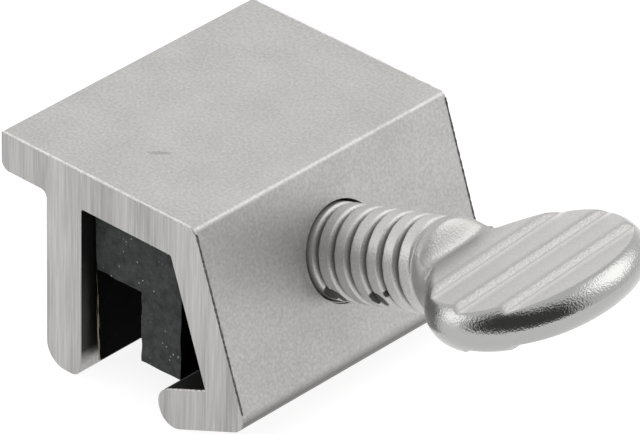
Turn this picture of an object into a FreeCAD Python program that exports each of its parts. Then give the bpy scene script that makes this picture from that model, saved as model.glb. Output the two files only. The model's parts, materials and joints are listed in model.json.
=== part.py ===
import FreeCAD, Part
import math
import os

# Sliding window lock: a short length of aluminium extrusion that drops over the fin of a window track,
# a black pad that lines its channel, and a spade-headed thumb screw that presses the pad.
#
# Millimetres. +X points to the thumb screw, +Y along the track, +Z up. The origin is on the closed end of
# the pad's slot, half way along the lock. The section is drawn from the top left edge of the ledge, and
# everything is then moved to the origin together.

# Extruded body
body_length = 17.4
top_width = 12.7
top_wall = 2.1
ledge_reach = 3.0
leg_wall = 2.3
leg_height = 11.7
side_wall = 2.15
side_slant = 19.5
side_height = 10.4
hook_wall = 2.1
hook_length = 5.7
hook_rise = 22.5

# Rounded edges of the extrusion
crisp_edge = 0.12
top_edge = 0.3
ledge_edge = 0.5
ledge_root = 0.4
leg_outer_edge = 1.2
leg_inner_edge = 0.7
hook_edge = 0.98
corner_edge = 0.9
channel_edge = 0.15

# Black pad
pad_clearance = 0.1
pad_recess = 0.8
pad_crown = 3.55
pad_lip = 0.15
pad_lip_length = 5.1
pad_lip_lean = 0.2
pad_slot = 2.92
pad_foot_fall = 0.08
pad_edge = 0.15

# Thumb screw
screw_diameter = 4.76
screw_length = 9.55
screw_rise = 17.0
screw_drop = 4.7
bore_clearance = 0.15
tip_chamfer = 0.5
tip_gap = 0.1
collar_length = 0.75
collar_taper = 0.5
wing_length = 10.68
wing_width = 11.68
wing_thickness = 2.99
wing_taper = 0.92
wing_neck = 5.58
wing_neck_length = 1.12
wing_blend = 3
wing_rim = 0.85
wing_spare = 0.05
wing_turn = 3.3
rib_count = 3
rib_start = 3.19
rib_pitch = 2.33
rib_steep = 0.33
rib_height = 0.24

# Points on half of the wing's outline, and outlines on half of its rim
outline_steps = 8
rim_steps = 3

# Two corners this near are the same one
same_place = 1e-6


def point(x, z):
    return FreeCAD.Vector(x, 0, z)


def along(angle):
    """Unit vector in the section, so many degrees above +X."""
    turn = math.radians(angle)
    return point(math.cos(turn), math.sin(turn))


def crossing(start, heading, other, other_heading):
    """Where two lines of the section meet."""
    gap = other - start
    turn = heading.x * other_heading.z - heading.z * other_heading.x
    reach = (gap.x * other_heading.z - gap.z * other_heading.x) / turn
    return start + heading * reach


def prism(corners, length):
    """The closed outline of a section, drawn out along +Y."""
    wire = Part.makePolygon(corners + corners[:1])
    return Part.Face(wire).extrude(FreeCAD.Vector(0, length, 0))


def rounded(solid, radii):
    """Round each edge that runs along Y through one of the given corners by its own radius."""
    for corner, radius in radii:
        edges = []
        for edge in solid.Edges:
            ends = [vertex.Point for vertex in edge.Vertexes]
            if all(math.hypot(end.x - corner.x, end.z - corner.z) < same_place for end in ends):
                edges.append(edge)
        solid = solid.makeFillet(radius, edges)
    return solid


# The side wall, the hook and the bore are set out from these lines
down_side = along(side_slant - 90)
out_of_side = along(side_slant)
up_hook = along(hook_rise + 90)
into_hook = along(hook_rise + 180)
top_corner = point(top_width, 0)
bottom_corner = top_corner + down_side * side_height
inner_side = top_corner - out_of_side * side_wall
hook_top = bottom_corner + up_hook * hook_wall
hook_end = bottom_corner + into_hook * hook_length
channel_top = point(0, -top_wall)
channel_left = ledge_reach + leg_wall
channel_right = crossing(inner_side, down_side, channel_top, along(0)).x

# The pad fills the channel at its top and reaches down to the hook
pad_left = channel_left + pad_clearance
pad_right = channel_right - pad_clearance
pad_top = -top_wall - pad_clearance
slot_top = pad_top - pad_crown
slot_left = pad_left + pad_lip
slot_right = slot_left + pad_slot
pad_foot = crossing(hook_top, into_hook, point(pad_right, 0), along(90)).z + pad_clearance

# The screw's axis leaves the side wall at the bore's centre
bore_centre = top_corner + down_side * screw_drop + FreeCAD.Vector(0, body_length / 2, 0)
screw_axis = along(screw_rise)
tip_radius = screw_diameter / 2 - tip_chamfer
tip_lean = tip_radius * math.sin(math.radians(screw_rise))
screw_inset = (bore_centre.x - pad_right - tip_gap - tip_lean) / math.cos(math.radians(screw_rise))

origin = FreeCAD.Vector((slot_left + slot_right) / 2, body_length / 2, slot_top)


def lock_body():
    """The extrusion: ledge, upright leg and slanted side wall with its hook, bored for the screw."""
    ledge_top = point(0, 0)
    ledge_bottom = point(0, -top_wall)
    ledge_inside = point(ledge_reach, -top_wall)
    leg_outside = point(ledge_reach, -leg_height)
    leg_inside = point(channel_left, -leg_height)
    channel_corner = point(channel_left, -top_wall)
    side_top = point(channel_right, -top_wall)
    side_foot = crossing(inner_side, down_side, hook_top, into_hook)
    hook_tip = hook_end + up_hook * hook_wall
    outline = [ledge_top, top_corner, bottom_corner, hook_end, hook_tip, side_foot, side_top]
    outline += [channel_corner, leg_inside, leg_outside, ledge_inside, ledge_bottom]
    body = rounded(
        prism(outline, body_length),
        [
            (ledge_top, crisp_edge),
            (top_corner, top_edge),
            (bottom_corner, corner_edge),
            (hook_end, hook_edge),
            (hook_tip, hook_edge),
            (side_foot, channel_edge),
            (side_top, channel_edge),
            (channel_corner, channel_edge),
            (leg_inside, leg_inner_edge),
            (leg_outside, leg_outer_edge),
            (ledge_inside, ledge_root),
            (ledge_bottom, ledge_edge),
        ],
    )
    bore_radius = screw_diameter / 2 + bore_clearance
    reach = side_wall + bore_radius
    bore = Part.makeCylinder(bore_radius, 2 * reach, bore_centre - screw_axis * reach, screw_axis)
    return body.cut(bore)


def grip_pad():
    """A block with a slot for the fin: a thin, leaning lip on the left and the pressed leg on the right."""
    lip_foot = slot_top - pad_lip_length
    corners = [
        point(pad_left, pad_top),
        point(pad_right, pad_top),
        point(pad_right, pad_foot),
        point(slot_right, pad_foot - pad_foot_fall),
        point(slot_right, slot_top),
        point(slot_left, slot_top),
        point(slot_left + pad_lip_lean, lip_foot),
        point(pad_left + pad_lip_lean, lip_foot),
    ]
    pad = prism(corners, body_length - 2 * pad_recess)
    pad = rounded(pad, [(corner, pad_edge) for corner in corners[:6]])
    return pad.translated(FreeCAD.Vector(0, pad_recess, 0))


def wing_face(x):
    """Height of the wing's faces without ribs: the wing gets thinner from its root to its tip."""
    return (wing_thickness - wing_taper * x / wing_length) / 2


def wing_section():
    """Side view of the wing: towards the tip each face rises gently and steps down steeply, rib after rib."""
    start = rib_start + rib_steep - rib_pitch
    end = rib_start + rib_count * rib_pitch
    rise = [(-wing_length, wing_face(start) - rib_height), (start, wing_face(start) - rib_height)]
    for rib in range(rib_count):
        crest = rib_start + rib * rib_pitch
        foot = crest + rib_steep
        rise += [(crest, wing_face(crest)), (foot, wing_face(foot) - rib_height)]
    rise += [(end, wing_face(end)), (2 * wing_length, wing_face(end))]
    upper = [point(x, z) for x, z in rise]
    lower = [point(x, -z) for x, z in reversed(rise)]
    section = prism(upper + lower, 2 * wing_width)
    return section.translated(FreeCAD.Vector(0, -wing_width, 0))


def wing_outline(inset, share):
    """The wing's edge, so far inside its widest, from its root round the tip and back.

    Its height is a share of the blank's, which is a little thicker than the ribs that are cut in it. Half
    its width is the oval's and the neck's together, as (oval^n + neck^n)^(1/n), so that the neck flows into
    the oval. The root is as wide as the screw.
    """
    half_root = screw_diameter / 2 - inset
    half_neck = wing_neck / 2 - inset
    half_oval = wing_width / 2 - inset
    oval_length = wing_length - wing_neck_length - inset
    places = [(0, -half_root)]
    for step in range(-outline_steps, outline_steps + 1):
        turn = math.pi * step / outline_steps
        reach = (1 + math.cos(turn)) / 2
        oval = half_oval * abs(math.sin(turn))
        neck = half_neck * (1 - reach)
        half = (oval**wing_blend + neck**wing_blend) ** (1 / wing_blend)
        places.append((wing_neck_length + oval_length * reach, math.copysign(half, turn)))
    places.append((0, half_root))
    edge = [FreeCAD.Vector(x, y, share * (wing_face(x) + wing_spare)) for x, y in places]
    curve = Part.BSplineCurve()
    curve.interpolate(edge)
    return Part.Wire([curve.toShape(), Part.makeLine(edge[-1], edge[0])])


def wing_plate():
    """The wing before its ribs are cut: a plate with a rounded rim, lofted from outline to outline."""
    outlines = []
    for step in range(-rim_steps, rim_steps + 1):
        lean = math.pi / 2 * step / rim_steps
        outlines.append(wing_outline(wing_rim * (1 - math.cos(lean)), math.sin(lean)))
    return Part.makeLoft(outlines, True)


def thumb_screw():
    """One forged piece along +X, its wing flat, then turned and raised to the bore's axis."""
    radius = screw_diameter / 2
    shoulder = screw_length - screw_inset
    shank = [
        point(-screw_inset, 0),
        point(-screw_inset, tip_radius),
        point(-screw_inset + tip_chamfer, radius),
        point(shoulder + collar_length, radius),
        point(shoulder + collar_length + collar_taper, wing_thickness / 2 - rib_height),
        point(shoulder + collar_length + collar_taper, 0),
    ]
    along_x = FreeCAD.Vector(1, 0, 0)
    shaft = Part.Face(Part.makePolygon(shank + shank[:1])).revolve(FreeCAD.Vector(), along_x, 360)
    wing = wing_plate().common(wing_section())
    wing.translate(FreeCAD.Vector(shoulder, 0, 0))
    screw = shaft.fuse(wing).removeSplitter()
    screw.rotate(FreeCAD.Vector(), along_x, wing_turn)
    screw.rotate(FreeCAD.Vector(), FreeCAD.Vector(0, 1, 0), -screw_rise)
    return screw.translated(bore_centre)


os.makedirs("parts", exist_ok=True)
for make in (lock_body, grip_pad, thumb_screw):
    solid = make().translated(-origin)
    solid.exportStep(f"parts/{make.__name__}.step")
    box = solid.BoundBox
    low = [round(value, 2) for value in (box.XMin, box.YMin, box.ZMin)]
    high = [round(value, 2) for value in (box.XMax, box.YMax, box.ZMax)]
    print(f"{make.__name__}: {solid.Volume:.1f} mm3, valid {solid.isValid()}, box {low} to {high}")
print(f"origin in the section: {origin}; screw inset {screw_inset:.3f}")
print(f"bore centre: {bore_centre - origin}")
print(f"pad right {pad_right - origin.x:.3f}, foot {pad_foot - origin.z:.3f}")
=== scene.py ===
# %% [markdown]
# # A sliding window lock
#
# The lock is a short length of aluminium extrusion that drops over the fin of a window track. A black
# rubber pad lines its channel, and a thumb screw presses the pad on the fin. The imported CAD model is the
# frame: its sizes stay as they are, and this lesson gives the pieces their finish and their fine shapes.
# Lengths are written in millimetres, as a maker would say them, and turned to metres once.

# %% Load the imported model
import json
import math

import bpy
import numpy as np
from mathutils import Matrix, Vector

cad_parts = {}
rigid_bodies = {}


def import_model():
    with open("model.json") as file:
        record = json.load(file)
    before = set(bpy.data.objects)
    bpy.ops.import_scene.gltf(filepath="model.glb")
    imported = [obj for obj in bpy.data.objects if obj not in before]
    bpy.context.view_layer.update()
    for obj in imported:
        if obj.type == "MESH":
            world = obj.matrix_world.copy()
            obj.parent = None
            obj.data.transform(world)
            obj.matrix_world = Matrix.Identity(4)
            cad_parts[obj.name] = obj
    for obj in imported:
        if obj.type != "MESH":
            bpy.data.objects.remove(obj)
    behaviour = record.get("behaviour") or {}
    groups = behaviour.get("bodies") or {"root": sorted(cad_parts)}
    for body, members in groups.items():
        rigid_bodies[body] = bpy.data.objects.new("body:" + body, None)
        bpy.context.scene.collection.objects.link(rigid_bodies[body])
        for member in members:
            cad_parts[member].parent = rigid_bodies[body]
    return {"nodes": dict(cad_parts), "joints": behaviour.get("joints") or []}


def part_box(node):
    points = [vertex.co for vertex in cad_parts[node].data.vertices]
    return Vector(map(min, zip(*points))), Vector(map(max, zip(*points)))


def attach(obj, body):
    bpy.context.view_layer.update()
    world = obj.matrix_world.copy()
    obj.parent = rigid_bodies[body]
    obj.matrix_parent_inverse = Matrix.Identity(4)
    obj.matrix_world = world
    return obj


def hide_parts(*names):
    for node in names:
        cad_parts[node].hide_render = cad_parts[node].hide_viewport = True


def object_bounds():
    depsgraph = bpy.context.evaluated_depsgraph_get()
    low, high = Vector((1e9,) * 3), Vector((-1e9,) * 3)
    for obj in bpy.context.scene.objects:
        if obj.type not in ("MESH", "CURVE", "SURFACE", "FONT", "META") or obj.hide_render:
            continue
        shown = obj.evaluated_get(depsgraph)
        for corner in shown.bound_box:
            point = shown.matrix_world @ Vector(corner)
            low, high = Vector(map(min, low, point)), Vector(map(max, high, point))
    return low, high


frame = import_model()
cad_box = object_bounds()
nodes = frame["nodes"]
MM = 0.001
print("CAD box in mm:", [[round(c / MM, 2) for c in corner] for corner in cad_box])

# %% [markdown]
# ## Camera
#
# The photograph was taken from far away with a long lens, so parallel edges stay nearly parallel. The
# angles, the point in the middle of the picture and the distance were worked out from the extrusion's
# straight edges. A camera looks along its own -Z, so its matrix has the right, up and back directions as
# columns.

# %% Camera at the photograph's angle
azimuth = math.radians(42.282)
elevation = math.radians(32.062)
roll = math.radians(1.039)
looks_at = np.array([5.634, 0.045, 2.498]) * MM
distance = 380.95 * MM

level_right = np.array([math.cos(azimuth), math.sin(azimuth), 0])
level_back = np.array([math.sin(azimuth), -math.cos(azimuth), 0])
back = math.cos(elevation) * level_back + math.sin(elevation) * np.array([0, 0, 1])
level_up = np.cross(back, level_right)
right = math.cos(roll) * level_right + math.sin(roll) * level_up
up = math.cos(roll) * level_up - math.sin(roll) * level_right
eye = looks_at + distance * back

lens = bpy.data.cameras.new("long_lens")
lens.sensor_width = 36
lens.lens = 450
lens.clip_start = 0.01
lens.clip_end = 20
camera = bpy.data.objects.new("camera", lens)
camera.matrix_world = Matrix(np.vstack([np.column_stack([right, up, back, eye]), [0, 0, 0, 1]]).tolist())
bpy.context.collection.objects.link(camera)
bpy.context.scene.camera = camera
bpy.context.scene.view_settings.view_transform = "Standard"
print(f"camera {distance / MM:.0f} mm away, lens {lens.lens:.0f} mm")

# %% [markdown]
# ## Helpers
#
# Colours are written as the sRGB hex values that a picture shows, and shaders work in linear light, so
# one function turns one into the other. A second one adds a node, sets its settings, and links or fills
# its inputs. Another one multiplies soft limits into a mask, for marks that cover only a part of a
# surface. The last one makes a mesh of rings of points: every new piece here is a closed curve carried
# along a line.


# %% Colours, nodes and meshes
def linear(hex_colour):
    """sRGB hex to linear RGBA: c / 12.92 below 0.04045, and ((c + 0.055) / 1.055) ^ 2.4 above."""
    channels = np.array([int(hex_colour[i : i + 2], 16) for i in (1, 3, 5)]) / 255
    light = np.where(channels <= 0.04045, channels / 12.92, ((channels + 0.055) / 1.055) ** 2.4)
    return (*light.tolist(), 1.0)


def add_node(tree, kind, settings=None, inputs=None):
    """A new node of that kind. An input given a socket is linked to it, and any other value is set on it."""
    node = tree.nodes.new("ShaderNode" + kind)
    for name, value in (settings or {}).items():
        setattr(node, name, value)
    for name, value in (inputs or {}).items():
        if isinstance(value, bpy.types.NodeSocket):
            tree.links.new(value, node.inputs[name])
        else:
            node.inputs[name].default_value = value
    return node


def new_material(name):
    """An empty material, and the tree to fill."""
    material = bpy.data.materials.new(name)
    material.use_nodes = True
    material.node_tree.nodes.clear()
    return material, material.node_tree


def share_inside(tree, limits):
    """1 inside every limit and 0 outside any. A limit is a socket, its value outside and its value inside."""
    share = 1.0
    for measure, outside, inside in limits:
        one = add_node(tree, "MapRange", None, {"Value": measure, "From Min": outside, "From Max": inside})
        share = add_node(tree, "Math", {"operation": "MULTIPLY"}, {0: one.outputs[0], 1: share}).outputs[0]
    return share


def per_metre(size_mm):
    """A texture's scale for features of that size: one over the size in metres."""
    return 1 / (size_mm * MM)


def ringed(name, rings, body):
    """A closed piece from rings of points in mm, shape (n, m, 3), that turn right-handed about their line.

    Point j of ring i has the number i m + j. A square joins it to point j + 1, with the last joined to the
    first, and to the next ring. The middles of the two end rings come last, and triangles join them to
    those rings.
    """
    n, m = rings.shape[:2]
    points = np.vstack([rings.reshape(-1, 3), rings[0].mean(0), rings[-1].mean(0)]) * MM
    j = np.arange(m)
    k = (j + 1) % m
    row = m * np.arange(n - 1)[:, None]
    squares = np.stack([row + j, row + k, row + m + k, row + m + j], -1).reshape(-1, 4)
    first = np.stack([np.full(m, n * m), k, j], -1)
    last = np.stack([np.full(m, n * m + 1), (n - 1) * m + j, (n - 1) * m + k], -1)
    mesh = bpy.data.meshes.new(name)
    mesh.from_pydata(points.tolist(), [], squares.tolist() + first.tolist() + last.tolist())
    mesh.polygons.foreach_set("use_smooth", np.ones(len(mesh.polygons), bool))
    piece = bpy.data.objects.new(name, mesh)
    bpy.context.collection.objects.link(piece)
    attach(piece, body)
    print(f"{name}: {len(points)} points, {len(mesh.polygons)} faces, rides on {body}")
    return piece


# %% [markdown]
# ## Studio
#
# The photograph is on white and looks lit by soft boxes on the left and on the right behind the lock,
# with a dark room behind the camera: the polished rim of the screw shows a black band. The world is
# white, and where a surface mirrors that side it is dark, from straight behind the camera to some 60
# degrees left and right of it. The floor is a plain pale sheet under the lock. It gives off a part of its
# whiteness, so that it reads as white, and takes the rest from the light, so that it keeps a soft shadow.

# %% World, soft boxes and floor
surround = 0.85
dark_side = 0.08
dark_turn = math.radians(6)
dark_edge = [math.cos(math.radians(turn)) for turn in (70, 54)]
ceiling_edge = [math.sin(math.radians(rise)) for rise in (76, 62)]
haze_top = math.sin(math.radians(15))
haze_share = 0.8
dark_heading = math.cos(dark_turn) * level_back - math.sin(dark_turn) * level_right

world = bpy.data.worlds.new("white_studio")
bpy.context.scene.world = world
world.use_nodes = True
sky = world.node_tree
sky.nodes.clear()
heading = add_node(sky, "TexCoord").outputs["Generated"]
level = add_node(sky, "VectorMath", {"operation": "MULTIPLY"}, {0: heading, 1: (1, 1, 0)})
level = add_node(sky, "VectorMath", {"operation": "NORMALIZE"}, {0: level.outputs[0]})
towards = {0: level.outputs[0], 1: Vector(dark_heading)}
towards = add_node(sky, "VectorMath", {"operation": "DOT_PRODUCT"}, towards)
height = add_node(sky, "SeparateXYZ", None, {0: heading}).outputs["Z"]
ray = add_node(sky, "LightPath").outputs

# The dark room is a product of shares: round the camera's heading, under the ceiling, less near the
# floor, and only in what a surface mirrors
behind = {"Value": towards.outputs["Value"], "From Min": dark_edge[0], "From Max": dark_edge[1]}
behind = add_node(sky, "MapRange", {"interpolation_type": "SMOOTHSTEP"}, behind)
ceiling = {"Value": height, "From Min": ceiling_edge[0], "From Max": ceiling_edge[1]}
ceiling = add_node(sky, "MapRange", {"interpolation_type": "SMOOTHSTEP"}, ceiling)
room = add_node(sky, "Math", {"operation": "MULTIPLY"}, {0: behind.outputs[0], 1: ceiling.outputs[0]})
haze = {"Value": height, "From Min": 0.0, "From Max": haze_top, "To Min": haze_share, "To Max": 1.0}
haze = add_node(sky, "MapRange", None, haze)
room = add_node(sky, "Math", {"operation": "MULTIPLY"}, {0: room.outputs[0], 1: haze.outputs[0]})
mirrored = add_node(sky, "Math", {"operation": "MULTIPLY"}, {0: room.outputs[0], 1: ray["Is Glossy Ray"]})
lit = add_node(sky, "MapRange", None, {"Value": mirrored.outputs[0], "To Min": 1.0, "To Max": dark_side})
shown = add_node(sky, "Math", {"operation": "MAXIMUM"}, {0: ray["Is Camera Ray"], 1: ray["Is Glossy Ray"]})
shown = add_node(sky, "Math", {"operation": "MAXIMUM"}, {0: shown.outputs[0], 1: ray["Is Transmission Ray"]})
white = add_node(sky, "Mix", None, {"Factor": shown.outputs[0], "A": surround, "B": 1.0})
strength = add_node(sky, "Math", {"operation": "MULTIPLY"}, {0: white.outputs["Result"], 1: lit.outputs[0]})
light = add_node(sky, "Background", None, {"Color": (1, 1, 1, 1), "Strength": strength.outputs[0]})
add_node(sky, "OutputWorld", None, {"Surface": light.outputs["Background"]})


def soft_box(name, direction, away, width, height, radiance):
    """A lamp that faces the lock. Power is radiance x area x pi, for a lamp that shines evenly."""
    lamp = bpy.data.lights.new(name, "AREA")
    lamp.shape = "RECTANGLE"
    lamp.size = width
    lamp.size_y = height
    lamp.energy = radiance * width * height * math.pi
    box = bpy.data.objects.new(name, lamp)
    place = Matrix.Translation([c * away for c in direction])
    box.matrix_world = place @ (-place.to_translation()).to_track_quat("-Z", "Y").to_matrix().to_4x4()
    bpy.context.collection.objects.link(box)
    print(f"{name}: {width * 1000:.0f} x {height * 1000:.0f} mm, {lamp.energy:.2f} W")


soft_box("left_soft_box", (-0.81, -0.55, 0.21), 0.6, 0.3, 0.4, 1.2)
soft_box("right_soft_box", (0.30, 0.69, 0.66), 0.6, 0.4, 0.4, 1.5)

floor_level = cad_box[0].z
floor_reach = 3.0
floor_glow = 0.84
floor_paint = 0.36
corners = [(x, y, floor_level) for x, y in ((-1, -1), (1, -1), (1, 1), (-1, 1))]
floor_mesh = bpy.data.meshes.new("floor")
floor_mesh.from_pydata([(x * floor_reach, y * floor_reach, z) for x, y, z in corners], [], [(0, 1, 2, 3)])
floor = bpy.data.objects.new("floor", floor_mesh)
bpy.context.collection.objects.link(floor)

paper, sheet = new_material("white_paper")
ray = add_node(sheet, "LightPath").outputs
shown = add_node(sheet, "Math", {"operation": "MAXIMUM"}, {0: ray["Is Camera Ray"], 1: ray["Is Glossy Ray"]})
rays = {0: shown.outputs[0], 1: ray["Is Transmission Ray"]}
shown = add_node(sheet, "Math", {"operation": "MAXIMUM"}, rays)
own_light = add_node(sheet, "Math", {"operation": "MULTIPLY"}, {0: shown.outputs[0], 1: floor_glow})
glow = add_node(sheet, "Emission", None, {"Color": (1, 1, 1, 1), "Strength": own_light.outputs[0]})
matt = add_node(sheet, "BsdfDiffuse", None, {"Color": (floor_paint, floor_paint, floor_paint, 1)})
both = add_node(sheet, "AddShader", None, {0: glow.outputs[0], 1: matt.outputs[0]})
add_node(sheet, "OutputMaterial", None, {"Surface": both.outputs[0]})
floor_mesh.materials.append(paper)
print(f"floor at {floor_level / MM:.2f} mm")

# %% [markdown]
# ## Aluminium extrusion
#
# The body is mill-finish aluminium, just as the press gave it: pale grey and matt, with a fine grain. Its
# ends were sawn, and the saw left upright lines. The CAD solid has the right shape, so it keeps its mesh
# and gets a material. The normal tells the sawn ends, which face along Y, from the drawn sides. The
# channel's walls, down to a little above the foot of the leg, carry painted shade, nearly black. The
# slanted side's foot carries painted shade, and a nick shows on the top.

# %% Mill-finish aluminium
body_low, body_high = (np.array(corner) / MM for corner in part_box("lock_body"))
pad_low, pad_high = (np.array(corner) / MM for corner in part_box("grip_pad"))
side_slant = math.radians(19.5)
out_of_side = Vector((math.cos(side_slant), 0, math.sin(side_slant)))
mid_wall = 6.2
nick = (-0.22, -4.92, 5.75)
nick_turn = math.radians(42.3)
nick_size = (0.75, 0.16, 0.2)
grain_size = 0.16
cloud_size = 3.0
saw_line = 0.11
saw_band = 0.7

aluminium, tree = new_material("mill_finish_aluminium")
place = add_node(tree, "TexCoord").outputs["Object"]
normal = add_node(tree, "SeparateXYZ", None, {0: add_node(tree, "NewGeometry").outputs["Normal"]})
facing = add_node(tree, "Math", {"operation": "ABSOLUTE"}, {0: normal.outputs["Y"]})
sawn = add_node(tree, "MapRange", None, {"Value": facing.outputs[0], "From Min": 0.85, "From Max": 0.95})

# The grain gives the matt, slightly sparkling skin, and the cloud its barely uneven grey
fine = {"Vector": place, "Scale": per_metre(grain_size), "Detail": 3.0, "Roughness": 0.6}
grain = add_node(tree, "TexNoise", None, fine)
cloud = add_node(tree, "TexNoise", None, {"Vector": place, "Scale": per_metre(cloud_size), "Detail": 2.0})
mottle = add_node(tree, "Mix", None, {"Factor": 0.75, "A": cloud.outputs["Fac"], "B": grain.outputs["Fac"]})
spread = {"Value": mottle.outputs["Result"], "From Min": 0.36, "From Max": 0.64}
share = add_node(tree, "MapRange", None, spread)
tones = {"Factor": share.outputs[0], "A": linear("#B2B1AF"), "B": linear("#C9C8C6")}
drawn = add_node(tree, "Mix", {"data_type": "RGBA"}, tones)

# The saw's lines run up and down the ends: fine and broad noise that is stretched 30 times along Z
upright = add_node(tree, "Mapping", None, {"Vector": place, "Scale": (1.0, 1.0, 0.033)}).outputs[0]
line = add_node(tree, "TexNoise", None, {"Vector": upright, "Scale": per_metre(saw_line), "Detail": 3.0})
band = add_node(tree, "TexNoise", None, {"Vector": upright, "Scale": per_metre(saw_band), "Detail": 2.0})
streak = add_node(tree, "Mix", None, {"Factor": 0.45, "A": line.outputs["Fac"], "B": band.outputs["Fac"]})
spread = {"Value": streak.outputs["Result"], "From Min": 0.34, "From Max": 0.66}
share = add_node(tree, "MapRange", None, spread)
tones = {"Factor": share.outputs[0], "A": linear("#9E9D9B"), "B": linear("#C8C7C5")}
cut_end = add_node(tree, "Mix", {"data_type": "RGBA"}, tones)
tones = {"Factor": sawn.outputs[0], "A": drawn.outputs["Result"], "B": cut_end.outputs["Result"]}
clean = add_node(tree, "Mix", {"data_type": "RGBA"}, tones)

# %% [markdown]
# Three marks go over the clean metal. Each is a mask between 0 and 1 that is worked out from the place or
# the normal, and each mixes in its own tone.

# %% Painted shade at the foot, nick and painted shade in the channel
along = add_node(tree, "SeparateXYZ", None, {0: place})
# Painted shade: downward faces at the slanted side's foot, away from the sawn ends, are darkened
under_side = [
    (normal.outputs["Z"], 0.3, -0.25),
    (along.outputs["X"], 7.0 * MM, 7.5 * MM),
    (sawn.outputs[0], 0.6, 0.4),
]
tones = {"Factor": share_inside(tree, under_side), "A": clean.outputs["Result"], "B": linear("#757472")}
foot_painted_shade = add_node(tree, "Mix", {"data_type": "RGBA"}, tones)

turned = {"Location": Vector(nick) * MM, "Rotation": (0, 0, nick_turn), "Scale": Vector(nick_size) * MM}
reach = add_node(tree, "Mapping", {"vector_type": "TEXTURE"}, {"Vector": place, **turned})
reach = add_node(tree, "VectorMath", {"operation": "LENGTH"}, {0: reach.outputs[0]})
reach = add_node(tree, "Math", {"operation": "ADD"}, {0: reach.outputs["Value"], 1: grain.outputs["Fac"]})
scar = add_node(tree, "MapRange", None, {"Value": reach.outputs[0], "From Min": 1.4, "From Max": 1.0})
tones = {"Factor": scar.outputs[0], "A": foot_painted_shade.outputs["Result"], "B": linear("#ABAAA8")}
scarred = add_node(tree, "Mix", {"data_type": "RGBA"}, tones)

# Painted shade, nearly black, fills the channel, which lies right of the leg's inner wall, left of the
# slanted wall's middle and under the top's
outward = add_node(tree, "VectorMath", {"operation": "DOT_PRODUCT"}, {0: place, 1: out_of_side})
channel_painted_shade = [
    (along.outputs["X"], (pad_low[0] - 0.13) * MM, (pad_low[0] - 0.11) * MM),
    (outward.outputs["Value"], mid_wall * MM, (mid_wall - 0.1) * MM),
    (along.outputs["Z"], (pad_high[2] + 0.14) * MM, (pad_high[2] + 0.12) * MM),
    (along.outputs["Z"], -5.2 * MM, -4.4 * MM),
    (facing.outputs[0], 0.9, 0.6),
]
tones = {"Factor": share_inside(tree, channel_painted_shade), "A": scarred.outputs["Result"], "B": linear("#2A2A29")}
colour = add_node(tree, "Mix", {"data_type": "RGBA"}, tones)

relief = {"Factor": sawn.outputs[0], "A": grain.outputs["Fac"], "B": line.outputs["Fac"]}
relief = add_node(tree, "Mix", None, relief)
bump = add_node(tree, "Bump", None, {"Strength": 0.3, "Distance": 0.02 * MM, "Height": relief.outputs[0]})
dent = {"Strength": 0.7, "Distance": 0.08 * MM, "Height": scar.outputs[0], "Normal": bump.outputs[0]}
dented = add_node(tree, "Bump", {"invert": True}, dent)

# The thin oxide skin scatters a part of the light, so the metal is dull and not a full mirror
skin = {"Base Color": colour.outputs["Result"], "Metallic": 0.62, "Roughness": 0.42}
shader = add_node(tree, "BsdfPrincipled", None, {**skin, "Normal": dented.outputs[0]})
add_node(tree, "OutputMaterial", None, {"Surface": shader.outputs[0]})
nodes["lock_body"].data.materials.clear()
nodes["lock_body"].data.materials.append(aluminium)
print("lock_body:", aluminium.name)

# %% [markdown]
# ## Saw burr
#
# A saw turns a thin ragged edge of metal over the outer edges of the cut. On the top its near-white colour is
# a painted highlight, a bright line. On the slanted side it is thinner, and its dark colour is painted shade,
# a dark line.
# The burr is a thin bead along the end's outline, and its thickness wanders, so the line looks torn and
# not piped.

# %% Saw burr along both ends
top_width = 12.7
top_edge = 0.3
side_height = 10.4
bottom_edge = 0.9
burr = 0.07
hook_burr_share = 0.7
sunk = 0.03

down_side = np.array([math.sin(side_slant), -math.cos(side_slant)])
top_left = np.array([body_low[0] + 0.1, body_high[2] - sunk])
top_right = np.array([body_low[0] + top_width, body_high[2] - sunk])
low_right = top_right + down_side * (side_height - bottom_edge)
steps = np.linspace(0, 1, 500)[:, None]
across_top = top_left + (top_right - [top_edge, 0] - top_left) * steps
down = top_right + down_side * top_edge + (low_right - top_right - down_side * top_edge) * steps
burr_line = np.vstack([across_top, down])
# 1 on the slanted side, where the bead is thinner and carries painted shade
slanted_side_shade = np.repeat([0.0, 1.0], len(steps))

# The upper edge of the hook, from its round tip to the slanted wall
hook_rise = math.radians(22.5)
hook_wall = 2.1
hook_tip, hook_root = 4.75, 2.05
into_hook = -np.array([math.cos(hook_rise), math.sin(hook_rise)])
up_hook = np.array([-math.sin(hook_rise), math.cos(hook_rise)])
hook_start = top_right + [0, sunk] + down_side * side_height + up_hook * (hook_wall - sunk)
hook_line = hook_start + into_hook * (hook_tip + (hook_root - hook_tip) * steps)

random = np.random.default_rng(4)
wander = np.convolve(random.normal(size=len(burr_line) + 8), np.ones(9) / 9, "valid")
thickness = burr * np.clip(0.9 + 0.35 * wander, 0.5, 1.15) * (1 - 0.15 * slanted_side_shade)
thickness[[0, -1]] = 0.01

turn = np.linspace(0, 2 * np.pi, 8, endpoint=False)


def burr_rings(line, thickness, y):
    """A circle of the bead's thickness r at each point p of its line, at y: p + r (N cos t + Y sin t).

    N lies across the line in the section: N x Y is the line's heading, so the rings turn right-handed.
    """
    heading = np.gradient(line, axis=0)
    heading /= np.linalg.norm(heading, axis=1)[:, None]
    across = thickness[:, None] * np.cos(turn)
    x = line[:, :1] + heading[:, 1:] * across
    z = line[:, 1:] - heading[:, :1] * across
    return np.stack([x, y + thickness[:, None] * np.sin(turn), z], -1)
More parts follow.
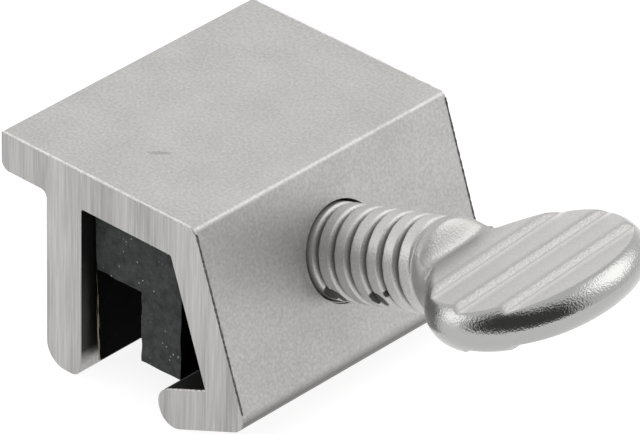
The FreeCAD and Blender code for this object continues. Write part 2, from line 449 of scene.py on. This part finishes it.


# The bead's near-white colour is a painted highlight, a bright line on the top and along the hook. On the
# slanted side its dark colour is painted shade
torn, tree = new_material("torn_aluminium_painted_light")
place = add_node(tree, "TexCoord").outputs["Object"]
spots = add_node(tree, "TexNoise", None, {"Vector": place, "Scale": per_metre(0.15), "Detail": 2.0})
share = add_node(tree, "MapRange", None, {"Value": spots.outputs["Fac"], "From Min": 0.35, "From Max": 0.65})
# Near-white tones: a painted highlight
tones = {"Factor": share.outputs[0], "A": linear("#D9D8D6"), "B": linear("#F4F3F1")}
bright = add_node(tree, "Mix", {"data_type": "RGBA"}, tones)
tones = {"Factor": share.outputs[0], "A": linear("#3A3938"), "B": linear("#767573")}
slanted_painted_shade = add_node(tree, "Mix", {"data_type": "RGBA"}, tones)
mark = add_node(tree, "Attribute", {"attribute_name": "slanted_side_shade"}).outputs["Fac"]
tones = {"Factor": mark, "A": bright.outputs["Result"], "B": slanted_painted_shade.outputs["Result"]}
tone = add_node(tree, "Mix", {"data_type": "RGBA"}, tones)
skin = {"Base Color": tone.outputs["Result"], "Metallic": 0.2, "Roughness": 0.5}
shader = add_node(tree, "BsdfPrincipled", None, skin)
add_node(tree, "OutputMaterial", None, {"Surface": shader.outputs[0]})

for side, y in (("near", body_low[1] + sunk), ("far", body_high[1] - sunk)):
    piece = ringed(f"saw_burr_{side}", burr_rings(burr_line, thickness, y), "lock")
    values = np.append(np.repeat(slanted_side_shade, len(turn)), slanted_side_shade[[0, -1]])
    piece.data.attributes.new("slanted_side_shade", "FLOAT", "POINT").data.foreach_set("value", values.astype(np.float32))
    piece.data.materials.append(torn)
    hook_rings = burr_rings(hook_line, hook_burr_share * thickness[: len(steps)], y)
    piece = ringed(f"hook_burr_{side}", hook_rings, "lock")
    piece.data.materials.append(torn)

# %% [markdown]
# ## Rubber pad
#
# The pad is cut from a black rubber extrusion with a slot for the fin. It is one band that goes up the
# thin lip, over the crown and down the thick leg, so a rectangle carried along that way makes it in one
# piece. The knife left the cut ends a little wavy, and a bevel rounds the edges, as rubber has none that
# are sharp.

# %% Pad as one band
lip = 0.15
lip_lean = 0.2
slot_width = 2.92
foot_fall = 0.08
leg_foot = -3.797
knife_depth = 0.05
across_count = 14
along_count = 24
slot_left = pad_low[0] + lip
slot_right = slot_left + slot_width

# Corners of the outer and the inner line, from the lip's foot to the leg's
corner_at = np.array([0.0, 0.4, 0.66, 1.0])
outer_x = [pad_low[0] + lip_lean, pad_low[0], pad_high[0], pad_high[0]]
outer_z = [pad_low[2], pad_high[2], pad_high[2], leg_foot]
inner_x = [slot_left + lip_lean, slot_left, slot_right, slot_right]
inner_z = [pad_low[2], 0.0, 0.0, leg_foot - foot_fall]

station = np.unique(np.concatenate([np.linspace(0, 1, 120), corner_at]))[:, None]
across_steps = np.linspace(0, 1, across_count, endpoint=False)
along_steps = np.linspace(0, 1, along_count, endpoint=False)
inward = np.concatenate([across_steps, np.ones(along_count), 1 - across_steps, np.zeros(along_count)])
lengthwise = np.concatenate([np.zeros(across_count), along_steps, np.ones(across_count), 1 - along_steps])


def between(outer, inner):
    """Straight from the outer line, at inward 0, to the inner one, at inward 1, at each station."""
    out = np.interp(station, corner_at, outer)
    return out + (np.interp(station, corner_at, inner) - out) * inward


def wave(u, v):
    """A gentle unevenness between -1 and 1: three sine waves of u and v whose lengths don't match."""
    return (np.sin(41 * u + 2.1 * v) + np.sin(67 * u - 5 * v + 1) + np.sin(23 * u + 9 * v + 2)) / 3


pad_x = between(outer_x, inner_x)
pad_z = between(outer_z, inner_z)
knife = knife_depth * (1 + wave(station, inward))
pad_y = pad_low[1] + knife + (pad_high[1] - pad_low[1] - 2 * knife) * lengthwise
pad = ringed("rubber_pad", np.stack([pad_x, pad_y, pad_z], -1), "lock")
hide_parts("grip_pad")
edge = pad.modifiers.new("soft_edges", "BEVEL")
edge.width = 0.06 * MM
edge.segments = 2
edge.limit_method = "ANGLE"
edge.angle_limit = math.radians(50)

# %% [markdown]
# Rubber scatters almost no light of its own. The moulded sides are nearly black, with a broad, weak
# gloss. The cut ends are grey with dust, and a few pale crumbs stick to them in groups. The thin lip's
# cut end is tan, like dried glue.

# %% Black rubber
rubber, tree = new_material("cut_black_rubber")
place = add_node(tree, "TexCoord").outputs["Object"]
normal = add_node(tree, "SeparateXYZ", None, {0: add_node(tree, "NewGeometry").outputs["Normal"]})
facing = add_node(tree, "Math", {"operation": "ABSOLUTE"}, {0: normal.outputs["Y"]})
cut = add_node(tree, "MapRange", None, {"Value": facing.outputs[0], "From Min": 0.6, "From Max": 0.9})

fine = {"Vector": place, "Scale": per_metre(0.4), "Detail": 4.0, "Roughness": 0.65}
dust = add_node(tree, "TexNoise", None, fine)
share = add_node(tree, "MapRange", None, {"Value": dust.outputs["Fac"], "From Min": 0.3, "From Max": 0.7})
tones = {"Factor": share.outputs[0], "A": linear("#3F4040"), "B": linear("#585959")}
dusty = add_node(tree, "Mix", {"data_type": "RGBA"}, tones)

along = add_node(tree, "SeparateXYZ", None, {0: place})
lip_edge = (slot_left + lip_lean + 0.05) * MM
on_lip = add_node(tree, "Math", {"operation": "LESS_THAN"}, {0: along.outputs["X"], 1: lip_edge})
under_crown = add_node(tree, "Math", {"operation": "LESS_THAN"}, {0: along.outputs["Z"], 1: -0.2 * MM})
glued = add_node(tree, "Math", {"operation": "MULTIPLY"}, {0: on_lip.outputs[0], 1: under_crown.outputs[0]})
tones = {"Factor": glued.outputs[0], "A": dusty.outputs["Result"], "B": linear("#BFB299")}
end_tone = add_node(tree, "Mix", {"data_type": "RGBA"}, tones)
tones = {"Factor": cut.outputs[0], "A": linear("#020202"), "B": end_tone.outputs["Result"]}
colour = add_node(tree, "Mix", {"data_type": "RGBA"}, tones)

# A crumb sits where a cell's middle is near, the cell's own random value is high, and a broad noise makes
# a group
crumb = add_node(tree, "TexVoronoi", None, {"Vector": place, "Scale": per_metre(0.26)})
middle = {"Value": crumb.outputs["Distance"], "From Min": 0.2, "From Max": 0.08}
near = add_node(tree, "MapRange", None, middle)
lot = add_node(tree, "SeparateColor", None, {0: crumb.outputs["Color"]})
drawn_lot = add_node(tree, "Math", {"operation": "GREATER_THAN"}, {0: lot.outputs[0], 1: 0.55})
group = add_node(tree, "TexNoise", None, {"Vector": place, "Scale": per_metre(1.6), "Detail": 1.0})
spread = {"Value": group.outputs["Fac"], "From Min": 0.42, "From Max": 0.54}
grouped = add_node(tree, "MapRange", None, spread)
there = near.outputs[0]
for share in (drawn_lot.outputs[0], grouped.outputs[0], cut.outputs[0]):
    there = add_node(tree, "Math", {"operation": "MULTIPLY"}, {0: there, 1: share}).outputs[0]
tones = {"Factor": there, "A": colour.outputs["Result"], "B": linear("#D6D5D1")}
colour = add_node(tree, "Mix", {"data_type": "RGBA"}, tones)
bump = add_node(tree, "Bump", None, {"Strength": 0.5, "Distance": 0.05 * MM, "Height": dust.outputs["Fac"]})
skin = {"Base Color": colour.outputs["Result"], "Roughness": 0.8, "Specular IOR Level": 0.06}
shader = add_node(tree, "BsdfPrincipled", None, {**skin, "Normal": bump.outputs[0]})
add_node(tree, "OutputMaterial", None, {"Surface": shader.outputs[0]})
pad.data.materials.append(rubber)
print("rubber_pad:", rubber.name)

# %% [markdown]
# ## Thumb screw
#
# The screw is one forged piece with a rolled thread, a collar and a flat ribbed wing. It could be three
# solids put together, but one surface from tip to tip has no seams. At each station along the axis it has
# one closed curve: a circle that the thread cuts into, and then a flat oval, the wing's section. The
# hinge's place and axis come from the record, so the visual screw turns exactly about its own line.

# %% Measures of the screw
hinge = frame["joints"][0]
bore = np.array(hinge["pos_m"]) / MM
forward = np.array(hinge["axis"])
flat_turn = math.radians(3.3)

radius = 2.38
tip = -2.673
tip_chamfer = 0.5
pitch = 25.4 / 24
thread_depth = 0.4
flank = 0.42
shoulder = 6.877
collar_length = 0.35
collar_taper = 1.3

wing_length = 10.68
wing_width = 11.68
wing_thickness = 2.99
wing_taper = 0.92
wing_neck = 5.58
wing_neck_length = 1.12
wing_blend = 3
wing_rim = 1.1
rim_rise = 0.05
rim_square = 1.75
rib_steep = 0.33
rib_height = 0.24
rib_height_below = 0.4
rib_pitch = 2.33
first_crest = 3.19
crests = first_crest + rib_pitch * np.arange(4)
feet = crests + rib_steep - rib_pitch
print(f"screw: {shoulder + wing_length - tip:.1f} mm long, thread pitch {pitch:.3f} mm")


# %% [markdown]
# Each form is a formula. The thread depends on the distance along the axis and on the angle. The wing's
# height is the lower one of its rounded rim and its ribbed face, and a smooth greater-of joins the collar
# to it. The ribs of the lower face are a little deeper, because the photograph's lower outline has steps.


# %% Formulas of the screw
def smooth_step(t):
    """0 below 0, 1 above 1, and 3 t^2 - 2 t^3 between."""
    t = np.clip(t, 0, 1)
    return t * t * (3 - 2 * t)


def thread_cut(x, angle):
    """Depth of the thread at x along the axis, from 0 on the crest to thread_depth in the valley.

    The cut moves on by a pitch in each turn, so it depends on x / pitch - angle / (2 pi) alone. Its flanks
    are half cosine waves, and it runs out at the collar.
    """
    turns = x / pitch - angle / (2 * np.pi)
    away = 2 * np.abs(turns - np.round(turns))
    valley = (1 + np.cos(np.pi * np.clip(away / flank, 0, 1))) / 2
    return thread_depth * valley * smooth_step((shoulder - x) / (0.5 * pitch))


def wing_half(w):
    """Half the wing's width at w from the shoulder: (oval^n + neck^n)^(1/n), which blends the two."""
    reach = np.clip((w - wing_neck_length) / (wing_length - wing_neck_length), 0, 1)
    oval = wing_width * np.sqrt(reach * (1 - reach))
    neck = np.interp(w, [0, wing_neck_length], [radius, wing_neck / 2]) * (1 - reach)
    return (oval**wing_blend + neck**wing_blend) ** (1 / wing_blend)


def wing_crest(w):
    """Half the wing's thickness at w, without the ribs: it gets thinner towards the tip."""
    return (wing_thickness - wing_taper * w / wing_length) / 2


def wing_face(w, rib):
    """Height of the ribbed face: it rises gently to each crest and then steps down steeply to a foot."""
    at = np.stack([feet, crests], 1).ravel()
    return np.interp(w, at, wing_crest(at) - rib * np.tile([1, 0], len(crests)))


def wing_edge(w, y):
    """Height of the rounded rim: h (1 - (1 - d / r)^s)^(1/s) at d from the outline, and h further in than r.

    The distance d to the outline y = H(w) is (H^2 - y^2) / (2 |(H H', y)|) to first order, also at the tip.
    """
    half = wing_half(w)
    slope = (wing_half(w + 0.005) ** 2 - wing_half(w - 0.005) ** 2) / 0.02
    away = (half**2 - y**2) / (2 * np.hypot(slope, y) + 1e-6)
    inside = np.clip(1 - away / wing_rim, 0, 1)
    return (wing_crest(w) + rim_rise) * (1 - inside**rim_square) ** (1 / rim_square)


# %% [markdown]
# The stations are close where the shape changes quickly: 18 to a pitch on the thread, many on each rib's
# steep side, and many near the round tip. The angle goes round once at each station. Two numbers are kept
# at each point. Polish is 1 on the bright rim, 0 on the ribbed faces, and below 0 on the thread and the
# collar. Painted light follows the ribs and the thread: a painted highlight in the hollow at the foot of each
# steep side, painted shade just before each crest and in the thread's valleys, and darker towards the neck.

# %% Screw as one surface
thread_x = np.concatenate([[tip, tip + 0.02], np.arange(tip + tip_chamfer, shoulder, pitch / 18)])
collar_w = np.linspace(0, feet[0], 20)
gentle_w = np.linspace(feet[:3], crests[:3], 22).ravel()
steep_w = np.linspace(crests[:3], feet[1:], 9).ravel()
tip_w = wing_length - (wing_length - feet[3]) * (1 - np.sin(np.linspace(0, np.pi / 2, 70)))
wing_w = np.concatenate([collar_w, gentle_w, steep_w, tip_w[:-1], [wing_length - 0.0005]])
x = np.unique(np.concatenate([thread_x, shoulder + wing_w]))
x = x[np.append(True, np.diff(x) > 0.0015)][:, None]
angle = np.linspace(0, 2 * np.pi, 256, endpoint=False)
w = x - shoulder
on_wing = np.clip(w, 0, None)

shaft = np.interp(x, [tip, tip + tip_chamfer], [radius - tip_chamfer, radius])
shaft = shaft * (1 - smooth_step((w - collar_length) / collar_taper))
half = np.maximum(shaft, wing_half(on_wing) * (w > 0))
y = half * np.cos(angle)
collar = shaft * np.abs(np.sin(angle))
rim = wing_edge(on_wing, y) * (w > 0)
face = np.where(np.sin(angle) < 0, wing_face(on_wing, rib_height_below), wing_face(on_wing, rib_height))
crisp = 24
wing = rim * face / (rim**crisp + face**crisp) ** (1 / crisp)
blend = 4
height = (collar**blend + wing**blend) ** (1 / blend) * np.sign(np.sin(angle))
trim = 1 - thread_cut(x, angle) / radius * (w < 0)
rounded = 1 - smooth_step((rim / face - 0.97) / 0.08)
on_rim = smooth_step((w - 1) / 2)
polish = np.where(w < 0, -0.5, rounded * on_rim - 0.9 * (1 - on_rim) * rounded)
since_crest = (w - crests[0]) % rib_pitch
painted_light_at = [0, rib_steep, rib_steep + 0.06, rib_steep + 0.2, rib_steep + 0.5]
painted_light_at += [rib_pitch - 0.35, rib_pitch - 0.15]
ribbed = (1 - rounded) * (w > feet[0] + 0.7)
painted_light = 0.3 + (np.interp(since_crest, painted_light_at, [0.2, 0.2, 0.9, 0.9, 0.3, 0.3, 0]) - 0.3) * ribbed
painted_light = painted_light - 0.3 * (1 - on_rim) * (w > 0) + (0.2 - thread_cut(x, angle) / thread_depth) * (w < 0)

sideways = np.array([0, 1, 0])
upward = np.cross(forward, sideways)
flat_side = math.cos(flat_turn) * sideways + math.sin(flat_turn) * upward
flat_up = math.cos(flat_turn) * upward - math.sin(flat_turn) * sideways
across = (trim * y)[..., None] * flat_side + (trim * height)[..., None] * flat_up
rings = bore + x[..., None] * forward + across
screw = ringed("forged_screw", rings, "screw")
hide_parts("thumb_screw")
for name, values in (("polish", polish), ("painted_light", painted_light)):
    mark = screw.data.attributes.new(name, "FLOAT", "POINT")
    mark.data.foreach_set("value", np.append(values.ravel(), [0, 1]).astype(np.float32))

# %% [markdown]
# Zinc plate mirrors the studio. On the rim it is bright, and a fine unevenness breaks up what it mirrors.
# On the thread, the collar and the forged faces it is duller, so part of the light scatters, and the colour
# there carries painted light: painted highlights on the ribs, and painted shade in the thread's valleys. In
# three places under the thread the plate has come off, and the steel shows dark.

# %% Bright zinc plate
# Middle and radius of each chip
chips = [((8.43, -1.88, 0.16), 0.62), ((11.36, -2.05, 1.32), 0.54), ((12.07, -2.25, 1.99), 0.27)]

plate, tree = new_material("bright_zinc_plate")
place = add_node(tree, "TexCoord").outputs["Object"]
polished = add_node(tree, "Attribute", {"attribute_name": "polish"}).outputs["Fac"]
painted_light_fac = add_node(tree, "Attribute", {"attribute_name": "painted_light"}).outputs["Fac"]
speck = add_node(tree, "TexNoise", None, {"Vector": place, "Scale": per_metre(0.1), "Detail": 2.0})
ragged = add_node(tree, "TexNoise", None, {"Vector": place, "Scale": per_metre(0.3), "Detail": 3.0})
# The forged tones carry painted light: a painted highlight at the foot of each rib's steep side, painted
# shade before each crest and in the thread's valleys, and a fine speck of real unevenness
swing = add_node(tree, "MapRange", None, {"Value": speck.outputs["Fac"], "To Min": -0.35, "To Max": 0.35})
uneven = add_node(tree, "Math", {"operation": "ADD"}, {0: painted_light_fac, 1: swing.outputs[0]})
tones = {"Factor": uneven.outputs[0], "A": linear("#AFAEAC"), "B": linear("#E4E3E1")}
forged = add_node(tree, "Mix", {"data_type": "RGBA"}, tones)

# Painted shade darkens the thread's valleys
# Of all places, only the thread has a polish between the collar's and the faces'
root = add_node(tree, "MapRange", None, {"Value": painted_light_fac, "From Min": 0.25, "From Max": -0.45})
under_face = add_node(tree, "Math", {"operation": "LESS_THAN"}, {0: polished, 1: -0.3})
over_collar = add_node(tree, "Math", {"operation": "GREATER_THAN"}, {0: polished, 1: -0.7})
valley_painted_shade = root.outputs[0]
for share in (under_face, over_collar):
    valley_painted_shade = add_node(tree, "Math", {"operation": "MULTIPLY"}, {0: valley_painted_shade, 1: share.outputs[0]}).outputs[0]
tones = {"Factor": valley_painted_shade, "A": forged.outputs["Result"], "B": linear("#5E5D5B")}
forged = add_node(tree, "Mix", {"data_type": "RGBA"}, tones)
tones = {"Factor": polished, "A": forged.outputs["Result"], "B": linear("#A7A7A5")}
bright = add_node(tree, "Mix", {"data_type": "RGBA"}, tones).outputs["Result"]

# How far outside the nearest chip, in metres, plus a ragged part
outside = {0: ragged.outputs["Fac"], 1: 0.2 * MM}
outside = add_node(tree, "Math", {"operation": "MULTIPLY"}, outside).outputs[0]
nearest = None
for centre, size in chips:
    away = add_node(tree, "VectorMath", {"operation": "DISTANCE"}, {0: place, 1: Vector(centre) * MM})
    rest = {0: away.outputs["Value"], 1: size * MM}
    rest = add_node(tree, "Math", {"operation": "SUBTRACT"}, rest).outputs[0]
    if nearest is None:
        nearest = rest
    else:
        nearest = add_node(tree, "Math", {"operation": "MINIMUM"}, {0: nearest, 1: rest}).outputs[0]
ragged_rest = add_node(tree, "Math", {"operation": "ADD"}, {0: nearest, 1: outside})
bounds = {"Value": ragged_rest.outputs[0], "From Min": 0.06 * MM, "From Max": 0.12 * MM}
whole = add_node(tree, "MapRange", None, bounds)
tones = {"Factor": whole.outputs[0], "A": linear("#3A3A39"), "B": bright}
colour = add_node(tree, "Mix", {"data_type": "RGBA"}, tones)
dullness = {"Value": polished, "From Min": -1.0, "To Min": 0.5, "To Max": 0.14}
dullness = add_node(tree, "MapRange", None, dullness)
relief = {"Strength": 0.4, "Distance": 0.05 * MM, "Height": speck.outputs["Fac"]}
bump = add_node(tree, "Bump", None, relief)
bare = add_node(tree, "MapRange", None, {"Value": polished, "To Min": 0.7, "To Max": 1.0})
skin = {"Base Color": colour.outputs["Result"], "Metallic": bare.outputs[0], "Roughness": dullness.outputs[0]}
shader = add_node(tree, "BsdfPrincipled", None, {**skin, "Normal": bump.outputs[0]})
add_node(tree, "OutputMaterial", None, {"Surface": shader.outputs[0]})
screw.data.materials.append(plate)
print("forged_screw:", plate.name)

# %% [markdown]
# ## Tapped hole
#
# The hole is tapped, and the screw hangs on the lower side of its thread, so a dark gap shows only above
# the screw. The CAD bore leaves the same room all round. A crescent fills the lower side: a rounded
# section carried round the lower part of the bore, that tapers off at both ends and stays clear of the
# screw.

# %% Crescent that carries the screw
bore_radius = radius + 0.15
bite = 0.12
sink = 0.02
depth = 1.6
bearing_ends = (205, 370)
taper_turn = 0.7
squareness = 0.4

bearing = np.radians(np.linspace(*bearing_ends, 90))[:, None]
taper = smooth_step((bearing - bearing[0]) / taper_turn) * smooth_step((bearing[-1] - bearing) / taper_turn)
round_section = np.linspace(0, 2 * np.pi, 24, endpoint=False)
squarish = np.sign(np.cos(round_section)) * np.abs(np.cos(round_section)) ** squareness
squarish_up = np.sign(np.sin(round_section)) * np.abs(np.sin(round_section)) ** squareness
half_bite = (bite * taper + sink) / 2
axial = depth / 2 * (squarish - 1)
radial = bore_radius + sink - half_bite + half_bite * squarish_up
outward = np.cos(bearing)[..., None] * sideways + np.sin(bearing)[..., None] * upward
crescent = bore + axial[:, None] * forward + radial[..., None] * outward
hole_lip = ringed("tapped_thread", crescent, "lock")
hole_lip.data.materials.append(aluminium)
